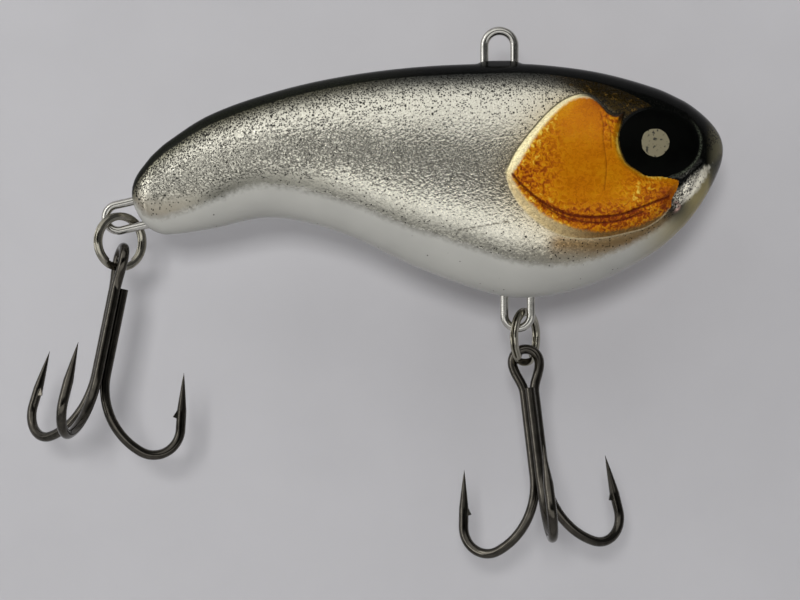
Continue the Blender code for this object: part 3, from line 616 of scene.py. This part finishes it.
# The crinkle, strongest on the wrinkles, paints the amber lighter and darker: painted highlights and shade.
glint = add(tree, "ShaderNodeMath", (from_noise["glint"], held["wrinkle"]), operation="MULTIPLY")
depth = add(tree, "ShaderNodeMath", (held["thin_and_highlight"], from_noise["sway"]), operation="ADD")
depth = add(tree, "ShaderNodeMath", (depth, glint), operation="ADD")
amber = add(tree, "ShaderNodeValToRGB", {"Fac": depth})
stops = amber.color_ramp.elements
stops[0].position, stops[0].color = 0.0, linear("#7a3004")
stops[1].position, stops[1].color = 1.0, linear("#e8c452")
for position, colour in ((0.25, "#9c5004"), (0.5, "#ba6e04"), (0.75, "#c48409")):
    stops.new(position).color = linear(colour)
amber_edge = add(tree, "ShaderNodeMath", (held["amber"], from_noise["wander"]), operation="ADD")
mask = soft_masks(tree, (
    ("amber", amber_edge, -0.25, 0.3, 1.0),
    ("groove", held["groove"], 0.24, 0.08, 0.85),
    ("crease", held["crease"], 0.16, 0.03, 0.45),
    ("edge", held["plate"], 0.30, 0.08, 0.9),
    ("notch", held["plate"], 0.85, 0.55, 0.95),
    ("low_edge", held["plate"], 0.22, 0.08, 0.4),
))
edge_part = add(tree, "ShaderNodeMath", (mask["edge"], held["upper"]), operation="MULTIPLY")
notch_part = add(tree, "ShaderNodeMath", (mask["notch"], held["notch"]), operation="MULTIPLY")
rim = "#d2bc8a"
for share, colour in (
    (held["mouth_side"], "#74552a"),
    (mask["low_edge"], "#ded3b0"),
    # the upper rim is painted bright cream, a painted highlight where it faces the window
    (held["upper"], "#fbeebb"),
):
    rim = mix(tree, share, rim, colour)
coat = add(tree, "ShaderNodeVectorMath", {0: rim, "Scale": from_noise["rim_grain"]}, operation="SCALE")
for share, colour in (
    (mask["amber"], amber),
    (mask["groove"], "#561a02"),
    (mask["crease"], "#6a2e04"),
    (edge_part, "#2c2818"),
    (notch_part, "#100d06"),
):
    coat = mix(tree, share, coat, colour)
ridges = add(tree, "ShaderNodeMath", (crinkle, held["wrinkle"]), operation="MULTIPLY")
bump = add(tree, "ShaderNodeBump", {"Strength": 0.9, "Distance": 0.00035, "Height": ridges})
feed(tree, shader, {
    "Base Color": coat,
    "Roughness": from_noise["rough"],
    "Normal": bump,
    "Metallic": 0.3,
    "Specular IOR Level": 0.1,
    "Coat Weight": 0.04,
    "Coat Roughness": 0.08,
})
for word, side in (("right", -1), ("left", 1)):
    plate = gill_cover(f"{word}_amber_gill_cover", side)
    plate.data.materials.append(finish)
    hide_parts(f"{word}_gill_plate")

# Eyes: shallow black domes in the hollow of each gill plate, with a flat silver dot dabbed in the middle.
# Both are enamel, brushed on before the clear coat.
EYE_DOME = 0.00042
EYE_EDGE = 0.00006
EYE_ROUNDNESS = 0.7
PUPIL_X = 0.0214
PUPIL_Z = -0.0144
PUPIL_SIZE = 0.0039
PUPIL_THICK = 0.00005
DAB_SPOKES = 96
DAB_RINGS = 28
DAB_DEPTH = 0.0003


def eye_lift(x, z):
    """Height of the black dome over the flank."""
    depth = oval_depth(x, z, (EYE_X, EYE_Z), (EYE_LENGTH, EYE_HEIGHT), 0) / (EYE_HEIGHT / 2)
    return -EYE_EDGE + (EYE_DOME + EYE_EDGE) * np.clip(1 - (1 - depth) ** 2, 0, 1) ** EYE_ROUNDNESS


def pupil_lift(x, z):
    """Height of the silver dot, a thin dab on the dome."""
    return eye_lift(x, z) + PUPIL_THICK


def flank_dab(name, centre, size, ripple, lift_at, side):
    """A round dab of paint on a flank, closed by an underside within the body."""
    angles = np.arange(DAB_SPOKES) * 2 * math.pi / DAB_SPOKES
    reach = 1 + ripple * (np.sin(3 * angles + 0.6) + np.sin(5 * angles + 2.1) + 0.7 * np.sin(11 * angles))
    shares = np.sin(np.linspace(0, math.pi / 2, DAB_RINGS + 1)[1:])
    x = centre[0] + np.append(0, np.outer(shares, reach * np.cos(angles))) * size[0] / 2
    z = centre[1] + np.append(0, np.outer(shares, reach * np.sin(angles))) * size[1] / 2
    top = over_flank(x, z, lift_at(x, z), side)
    rim_x, rim_z = x[-DAB_SPOKES:], z[-DAB_SPOKES:]
    under = over_flank(rim_x, rim_z, np.full(DAB_SPOKES, -DAB_DEPTH), side)
    points = np.vstack((top, under, under.mean(axis=0)))
    faces = []
    for k in range(DAB_SPOKES):
        after = (k + 1) % DAB_SPOKES
        faces.append((0, 1 + k, 1 + after))
        for ring in range(DAB_RINGS):
            near, far = 1 + ring * DAB_SPOKES, 1 + (ring + 1) * DAB_SPOKES
            faces.append((near + k, far + k, far + after, near + after))
        last = 1 + DAB_RINGS * DAB_SPOKES
        faces.append((last + k, len(points) - 1, last + after))
    if side > 0:
        faces = [face[::-1] for face in faces]
    return new_piece(name, points, faces, "lure_body")


# Black enamel: deep black with a faint, soft shine, bent by a trace of brush waves.
BRUSH_WAVE = 0.0016
black_enamel, tree, shader, place = new_finish("black_enamel")
waves = add(tree, "ShaderNodeTexNoise", {"Vector": place, "Scale": 1 / BRUSH_WAVE, "Detail": 2.0})
rough = add(tree, "ShaderNodeMapRange", {"Value": waves, "To Min": 0.30, "To Max": 0.42})
tone = mix(tree, waves, "#020202", "#050604")
bump = add(tree, "ShaderNodeBump", {"Strength": 0.15, "Distance": 0.0001, "Height": waves})
feed(tree, shader, {"Base Color": tone, "Roughness": rough, "Normal": bump, "Specular IOR Level": 0.02})
# Silver enamel: dull flakes with a few dark pits where the dab did not cover.
SILVER_FLAKE = 0.0005
silver_enamel, tree, shader, place = new_finish("silver_enamel")
flakes = add(tree, "ShaderNodeTexNoise", {"Vector": place, "Scale": 1 / SILVER_FLAKE, "Detail": 3.0})
pits = add(tree, "ShaderNodeMapRange", {"Value": flakes, "From Min": 0.36, "From Max": 0.43})
tone = mix(tree, pits, "#2a2820", "#79725a")
feed(tree, shader, {"Base Color": tone, "Metallic": 0.2, "Roughness": 0.55})
for word, side in (("right", -1), ("left", 1)):
    eye = flank_dab(f"{word}_black_eye", (EYE_X, EYE_Z), (EYE_LENGTH, EYE_HEIGHT), 0.002, eye_lift, side)
    eye.data.materials.append(black_enamel)
    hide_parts(f"{word}_eye")
    pupil_size = (PUPIL_SIZE, PUPIL_SIZE)
    pupil = flank_dab(f"{word}_silver_pupil", (PUPIL_X, PUPIL_Z), pupil_size, 0.012, pupil_lift, side)
    pupil.data.materials.append(silver_enamel)
    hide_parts(f"{word}_pupil")

# Wire eyes: three bent lengths of stainless wire, glued in their channels between the halves. One in the
# back takes the line, and one each in the belly and the tail carries a split ring.
EYE_WIRE = 0.0012
WIRE_EMBED = 0.0075
WIRE_SIDES = 24
LEG_STEPS = 12
CROWN_STEPS = 40
BELLY_EYE = Matrix.Translation((0.0026, 0, -0.03843)) @ Matrix.Rotation(math.pi, 4, "Y")
TAIL_EYE = Matrix.Translation((-0.0544, 0, -0.024545)) @ Matrix.Rotation(math.radians(-103), 4, "Y")


def wire_along_path():
    """Node tree that sweeps a round or oval wire along a path, scaled by the path's own radius."""
    made = bpy.data.node_groups.new("wire_along_path", "GeometryNodeTree")
    for name, kind in (
        ("Path", "NodeSocketGeometry"),
        ("Wire width", "NodeSocketFloat"),
        ("Wire depth", "NodeSocketFloat"),
        ("Sides", "NodeSocketInt"),
        ("Finish", "NodeSocketMaterial"),
    ):
        made.interface.new_socket(name, in_out="INPUT", socket_type=kind)
    made.interface.new_socket("Wire", in_out="OUTPUT", socket_type="NodeSocketGeometry")
    given = add(made, "NodeGroupInput").outputs
    ring = add(made, "GeometryNodeCurvePrimitiveCircle", {"Resolution": given["Sides"], "Radius": 0.5})
    size = add(made, "ShaderNodeCombineXYZ", {"X": given["Wire width"], "Y": given["Wire depth"], "Z": 1.0})
    oval = add(made, "GeometryNodeTransform", {"Geometry": ring, "Scale": size})
    radius = add(made, "GeometryNodeInputRadius")
    sweep = {"Curve": given["Path"], "Profile Curve": oval, "Scale": radius, "Fill Caps": True}
    swept = add(made, "GeometryNodeCurveToMesh", sweep)
    smooth = add(made, "GeometryNodeSetShadeSmooth", {"Geometry": swept})
    whole = add(made, "GeometryNodeRealizeInstances", {"Geometry": smooth})
    dressed = add(made, "GeometryNodeSetMaterial", {"Geometry": whole, "Material": given["Finish"]})
    add(made, "NodeGroupOutput", {"Wire": dressed})
    return made


WIRE_TREE = wire_along_path()


def bent_wire(name, path, stand, width, depth, sides, finish, body, *nodes):
    """A wire along a path of (point, radius share), put in its place to stand for CAD nodes.

    Flat wire lies flat on its path's plane.
    """
    curve = bpy.data.curves.new("path", "CURVE")
    curve.dimensions = "3D"
    curve.twist_mode = "MINIMUM" if width == depth else "Z_UP"
    spline = curve.splines.new("POLY")
    spline.points.add(len(path) - 1)
    for slot, (point, share) in zip(spline.points, path):
        slot.co = (*point, 1.0)
        slot.radius = share
    holder = bpy.data.objects.new("path", curve)
    bpy.context.scene.collection.objects.link(holder)
    sweep = holder.modifiers.new("wire", "NODES")
    sweep.node_group = WIRE_TREE
    given = {"Wire width": width, "Wire depth": depth, "Sides": sides, "Finish": finish}
    for item in WIRE_TREE.interface.items_tree:
        if item.in_out == "INPUT" and item.name in given:
            sweep[item.identifier] = given[item.name]
    seen = holder.evaluated_get(bpy.context.evaluated_depsgraph_get())
    mesh = bpy.data.meshes.new_from_object(seen)
    bpy.data.objects.remove(holder)
    mesh.name = name
    mesh.transform(stand)
    piece = bpy.data.objects.new(name, mesh)
    bpy.context.scene.collection.objects.link(piece)
    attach(piece, body)
    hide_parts(*nodes)
    return piece


def metal_finish(name, patch, detail, dark, bright, roughness):
    """Bare or plated metal whose tone and shine wander in small patches."""
    finish, tree, shader, place = new_finish(name)
    dull = add(tree, "ShaderNodeTexNoise", {"Vector": place, "Scale": 1 / patch, "Detail": detail})
    rough = add(tree, "ShaderNodeMapRange", {"Value": dull, "To Min": roughness[0], "To Max": roughness[1]})
    tone = mix(tree, dull, dark, bright)
    feed(tree, shader, {"Base Color": tone, "Roughness": rough, "Metallic": 1.0})
    return finish


# Bright stainless wire: drawn through a die, so it is smooth and pale, with small dull patches.
stainless = metal_finish("bright_drawn_stainless_wire", 0.0012, 3.0, "#a09e96", "#d2d0c8", (0.12, 0.30))
for name, node, opening, standoff, stand in (
    ("line_tie_eye", "line_tie", 0.0031, 0.00255, Matrix()),
    ("belly_wire_eye", "belly_hanger", 0.0026, 0.00247, BELLY_EYE),
    ("tail_wire_eye", "tail_hanger", 0.0025, 0.0019, TAIL_EYE),
):
    half = (opening + EYE_WIRE) / 2
    foot = standoff + WIRE_EMBED
    leg = [(-half, 0, -foot * (1 - k / LEG_STEPS)) for k in range(LEG_STEPS)]
    bends = [math.pi * k / CROWN_STEPS for k in range(CROWN_STEPS + 1)]
    crown = [(-half * math.cos(bend), 0, half * math.sin(bend)) for bend in bends]
    path = [(point, 1.0) for point in leg + crown + [(-p[0], 0, p[2]) for p in reversed(leg)]]
    wire = bent_wire(name, path, stand, EYE_WIRE, EYE_WIRE, WIRE_SIDES, stainless, "lure_body", node)

# Ballast: two slugs of lead, glued in pockets of the belly before the halves close over them. Cast lead is
# dull and grey, with a pale bloom.
LEAD_BLOOM = 0.0015
lead, tree, shader, place = new_finish("cast_lead")
bloom = add(tree, "ShaderNodeTexNoise", {"Vector": place, "Scale": 1 / LEAD_BLOOM, "Detail": 4.0})
tone = mix(tree, bloom, "#5c5f63", "#8d9094")
feed(tree, shader, {"Base Color": tone, "Metallic": 0.8, "Roughness": 0.6})
for node in ("front_ballast", "rear_ballast"):
    slug = frame["nodes"][node]
    slug.data.materials.clear()
    slug.data.materials.append(lead)

# Split rings: flat spring wire wound twice round and nickel plated, so that an eye can be worked in
# between the turns. The plating is smooth and bright, a little yellower than the steel.
RING_RADIUS = 0.00365
RING_WIDTH = 0.0011
RING_THICK = 0.00052
RING_PITCH = 0.00058
RING_STEP = math.radians(50)
RING_START = 40
RING_SWEEP = 640
RING_POINTS = 200
RING_SIDES = 20
ring_seat = {joint["name"]: Vector(joint["pos_m"]) for joint in frame["joints"]}
nickel = metal_finish("nickel_plated_spring_wire", 0.0009, 4.0, "#7c786a", "#b8b4a6", (0.06, 0.20))
coil = []
for k in range(RING_POINTS + 1):
    turn = math.radians(RING_START + RING_SWEEP * k / RING_POINTS)
    u = min(max((turn - 2 * math.pi) / RING_STEP, -0.5), 0.5)
    offset = RING_PITCH * (1.5 * u - 2 * u ** 3)
    coil.append(((RING_RADIUS * math.sin(turn), -RING_RADIUS * math.cos(turn), offset), 1.0))
for word, yaw in (("belly", 61), ("tail", 38)):
    stand = Matrix.Translation(ring_seat[f"{word}_ring_turn"])
    for angle, axis in ((math.radians(yaw), "Z"), (math.pi / 2, "X"), (math.pi, "Y")):
        stand = stand @ Matrix.Rotation(angle, 4, axis)
    ring = bent_wire(
        f"{word}_ring_coil", coil, stand, RING_WIDTH, RING_THICK, RING_SIDES, nickel,
        f"{word}_ring", f"{word}_split_ring",
    )

# Treble hooks: one wire bent into an eye and two hooks, and a third hook brazed in the groove between the
# shanks. The points are ground and cut with a barb, and the whole is plated black nickel.
HOOK_WIRE = 0.0014
HOOK_SIDES = 20
HOOK_EYE_RADIUS = 0.001925
HOOK_THROAT = 0.0045
THROAT_LENGTH = 0.0006
THIRD_START = 0.0040
SHANK_OFFSET = 0.000843
SHANK_GAP = 0.00006
SHANK_LENGTH = 0.0164
BOW_RADIUS = 0.0102
BOW_ANGLE = math.radians(72.3)
BEND_RADIUS = 0.0039
POINT_LEAN = math.radians(8)
POINT_LENGTH = 0.0081
POINT_TAPER = 0.0056
POINT_TIP = 0.03
POINT_FULLNESS = 0.85
BARB_FROM_POINT = 0.0064
BARB_LENGTH = 0.0021
BARB_RISE = 0.00055
BARB_HEEL = 0.0003
BARB_FACES = ((0, 2, 4), (1, 5, 3), (0, 4, 5, 1), (2, 3, 5, 4), (0, 1, 3, 2))
SHANK_STEPS, BOW_STEPS, BEND_STEPS, POINT_STEPS, EYE_STEPS = 8, 24, 32, 40, 16


def hook_path(direction, start):
    """Path of one hook from a height on its shank, round the bend to its point, with its thickness."""
    run = SHANK_LENGTH - start
    flat = [(SHANK_OFFSET, start + run * k / SHANK_STEPS) for k in range(SHANK_STEPS + 1)]
    for k in range(1, BOW_STEPS + 1):
        a = BOW_ANGLE * k / BOW_STEPS
        out = SHANK_OFFSET + BOW_RADIUS * (1 - math.cos(a))
        flat.append((out, SHANK_LENGTH + BOW_RADIUS * math.sin(a)))
    middle_r = flat[-1][0] + BEND_RADIUS * math.cos(BOW_ANGLE)
    middle_a = flat[-1][1] - BEND_RADIUS * math.sin(BOW_ANGLE)
    for k in range(1, BEND_STEPS + 1):
        a = BOW_ANGLE + (math.pi + POINT_LEAN - BOW_ANGLE) * k / BEND_STEPS
        flat.append((middle_r - BEND_RADIUS * math.cos(a), middle_a + BEND_RADIUS * math.sin(a)))
    shares = [1.0] * len(flat)
    r, a = flat[-1]
    for k in range(1, POINT_STEPS + 1):
        run = POINT_LENGTH * k / POINT_STEPS
        ground = max(0.0, run - POINT_LENGTH + POINT_TAPER) / POINT_TAPER
        flat.append((r - run * math.sin(POINT_LEAN), a - run * math.cos(POINT_LEAN)))
        shares.append(max(POINT_TIP, 1 - ground) ** POINT_FULLNESS)
    out = (math.cos(direction), math.sin(direction))
    return [((out[0] * r, out[1] * r, -a), share) for (r, a), share in zip(flat, shares)]


def barb(direction):
    """Corners of the thin blade that a barb stands up as, on the inner side of the point."""
    path = hook_path(direction, 0.0)
    tip = Vector(path[-1][0])
    along = (Vector(path[-2][0]) - tip).normalized()
    inward = Vector((-math.cos(direction), -math.sin(direction), 0))
    inward = (inward - along * inward.dot(along)).normalized()
    beside = along.cross(inward)
    top = tip + along * BARB_FROM_POINT
    root = tip + along * (BARB_FROM_POINT - BARB_LENGTH)
    crest = top + inward * (HOOK_WIRE / 2 + BARB_RISE)
    heel = top + along * BARB_HEEL + inward * HOOK_WIRE * 0.2
    corners = []
    for point, spread in ((root, 0.00030), (heel, 0.00040), (crest, 0.00006)):
        corners += [point + beside * spread, point - beside * spread]
    return corners


def join_mesh(target, points, faces):
    """Adds a small closed form to a mesh."""
    made = bmesh.new()
    made.from_mesh(target)
    corners = [made.verts.new(p) for p in points]
    for face in faces:
        made.faces.new([corners[k] for k in face])
    bmesh.ops.recalc_face_normals(made, faces=made.faces[-len(faces):])
    made.to_mesh(target)
    made.free()


# Black nickel: dark grey metal with a soft shine, worn a little brighter where it rubs.
black_nickel = metal_finish("black_nickel_plate", 0.0011, 4.0, "#2a2824", "#605c54", (0.08, 0.22))
half_shank = (HOOK_WIRE + SHANK_GAP) / 2
eye_y = SHANK_OFFSET / 2
loop = []
for a in np.linspace(math.pi / 2, 0, EYE_STEPS + 1):
    loop.append(((HOOK_EYE_RADIUS * math.cos(a), eye_y, HOOK_EYE_RADIUS * math.sin(a)), 1.0))
for k in range(1, EYE_STEPS + 1):
    reach = half_shank + (HOOK_EYE_RADIUS - half_shank) * (1 + math.cos(math.pi * k / EYE_STEPS)) / 2
    loop.append(((reach, eye_y, -HOOK_THROAT * k / EYE_STEPS), 1.0))
front = loop + hook_path(math.radians(30), HOOK_THROAT + THROAT_LENGTH)
double_path = [((-p[0], p[1], p[2]), share) for p, share in reversed(front[1:])] + front
third_path = hook_path(math.radians(-90), THIRD_START)
for word, lift, tilt, pitch, yaw in (("belly", 0.0, -6.2, -12, 1.6), ("tail", 0.0010, 10.4, -8.7, 108.5)):
    stand = Matrix.Translation(ring_seat[f"{word}_hook_swing"])
    for angle, axis in ((tilt, "Y"), (pitch, "X"), (yaw, "Z")):
        stand = stand @ Matrix.Rotation(math.radians(angle), 4, axis)
    stand = stand @ Matrix.Translation((0, -SHANK_OFFSET / 2, lift))
    for name, path, directions in (("double", double_path, (30, 150)), ("third", third_path, (-90,))):
        hook = bent_wire(
            f"{word}_{name}_hook_wire", path, Matrix(), HOOK_WIRE, HOOK_WIRE, HOOK_SIDES, black_nickel,
            f"{word}_treble", f"{word}_{name}_hook",
        )
        for direction in directions:
            join_mesh(hook.data, barb(math.radians(direction)), BARB_FACES)
        hook.data.transform(stand)

# Stage: pale paper hangs behind the lure, with room for the hooks to swing, and a pale floor lies below. A
# window lights it from the upper left. A small key lamp by the camera casts the shadow and shows in no
# mirror, a low card shows in mirrors alone, and the room is dimmer where the photographer stands.
CAMERA_AWAY = 0.3175
CAMERA_X = -0.0142
CAMERA_Z = -0.0363
WALL_Y = 0.0295
WALL_HALF = 1.2
WALL_TOP = 1.0
FLOOR_Z = -0.45
FLOOR_HALF = 8
PAPER_MOTTLE = 0.012
DIM_AWAY = (-0.03, 0.99, -0.12)
DIM_SPREAD = (1.9, 1.0, 4.8)


def stage_sheet(name, corners, colour, one_sided):
    """A flat pale sheet with a faint paper mottle. A one-sided sheet does not show from behind."""
    mesh = bpy.data.meshes.new(name)
    mesh.from_pydata(corners, [], [(0, 1, 2, 3)])
    sheet = bpy.data.objects.new(name, mesh)
    bpy.context.scene.collection.objects.link(sheet)
    finish, tree, shader, place = new_finish(name)
    mottle = add(tree, "ShaderNodeTexNoise", {"Vector": place, "Scale": 1 / PAPER_MOTTLE, "Detail": 4.0})
    tone = add(tree, "ShaderNodeMapRange", {"Value": mottle, "To Min": 0.96, "To Max": 1.04})
    tint = add(tree, "ShaderNodeVectorMath", {0: linear(colour)[:3], "Scale": tone}, operation="SCALE")
    feed(tree, shader, {"Base Color": tint, "Roughness": 0.9, "Specular IOR Level": 0.1})
    if one_sided:
        side = add(tree, "ShaderNodeNewGeometry").outputs["Backfacing"]
        clear = add(tree, "ShaderNodeBsdfTransparent")
        shown = add(tree, "ShaderNodeMixShader", (side, shader, clear))
        feed(tree, tree.nodes["Material Output"], {"Surface": shown})
    mesh.materials.append(finish)


wall = [(x * WALL_HALF, WALL_Y, z) for x, z in ((-1, FLOOR_Z), (1, FLOOR_Z), (1, WALL_TOP), (-1, WALL_TOP))]
floor = [(x * FLOOR_HALF, y * FLOOR_HALF, FLOOR_Z) for x, y in ((-1, -1), (1, -1), (1, 1), (-1, 1))]
stage_sheet("paper_backdrop", wall, "#bcbbbd", True)
stage_sheet("paper_floor", floor, "#dcdcde", False)

scene = bpy.context.scene
scene.view_settings.view_transform = "Standard"
camera = bpy.data.objects.new("camera", bpy.data.cameras.new("camera"))
camera.data.lens = 100
camera.data.sensor_width = 36
camera.data.clip_start = 0.01
camera.location = (CAMERA_X, -CAMERA_AWAY, CAMERA_Z)
camera.rotation_euler = (math.pi / 2, 0, 0)
scene.collection.objects.link(camera)
scene.camera = camera
for name, spot_at, size, power, lit, mirrored in (
    ("window_light", (-0.12, -0.42, 0.40), (1.0, 0.45), 1.00, True, True),
    ("low_card", (0.0, -0.60, -0.18), (1.2, 0.26), 1.00, False, True),
    ("side_window", (-0.45, -0.25, 0.06), (0.05, 0.60), 0.48, True, True),
    ("front_key", (-0.045, -0.60, 0.026), (0.07, 0.07), 1.65, True, False),
):
    lamp = bpy.data.lights.new(name, "AREA")
    lamp.shape = "RECTANGLE"
    lamp.size, lamp.size_y = size
    lamp.energy = power
    lamp_object = bpy.data.objects.new(name, lamp)
    lamp_object.location = spot_at
    lamp_object.visible_diffuse = lit
    lamp_object.visible_glossy = mirrored
    aim = Vector((CAMERA_X, 0, CAMERA_Z)) - Vector(spot_at)
    lamp_object.rotation_euler = aim.to_track_quat("-Z", "Y").to_euler()
    scene.collection.objects.link(lamp_object)
world = bpy.data.worlds.new("pale_room")
scene.world = world
world.use_nodes = True
tree = world.node_tree
way = add(tree, "ShaderNodeTexCoord").outputs["Generated"]
across = add(tree, "ShaderNodeSeparateXYZ", (way,))
off = add(tree, "ShaderNodeVectorMath", (way, DIM_AWAY), operation="ADD")
off = add(tree, "ShaderNodeVectorMath", (off, DIM_SPREAD), operation="MULTIPLY")
off = add(tree, "ShaderNodeVectorMath", (off,), operation="LENGTH")
glow = []
for value, low, high, gives_low, gives_high in (
    (off, 0.62, 1.35, 0.02, 0.52),  # dim by the camera, brighter all round
    (across, -0.30, 0.40, 1.0, 0.22),  # falling off to the right
    (across, -0.45, -0.80, 0.0, 0.70),  # and bright at the far left
):
    limits = {"Value": value, "From Min": low, "From Max": high, "To Min": gives_low, "To Max": gives_high}
    glow.append(add(tree, "ShaderNodeMapRange", limits, interpolation_type="SMOOTHSTEP"))
strength = add(tree, "ShaderNodeMath", glow, operation="MULTIPLY_ADD")
feed(tree, tree.nodes["Background"], {"Color": "#f4f4f6", "Strength": strength})
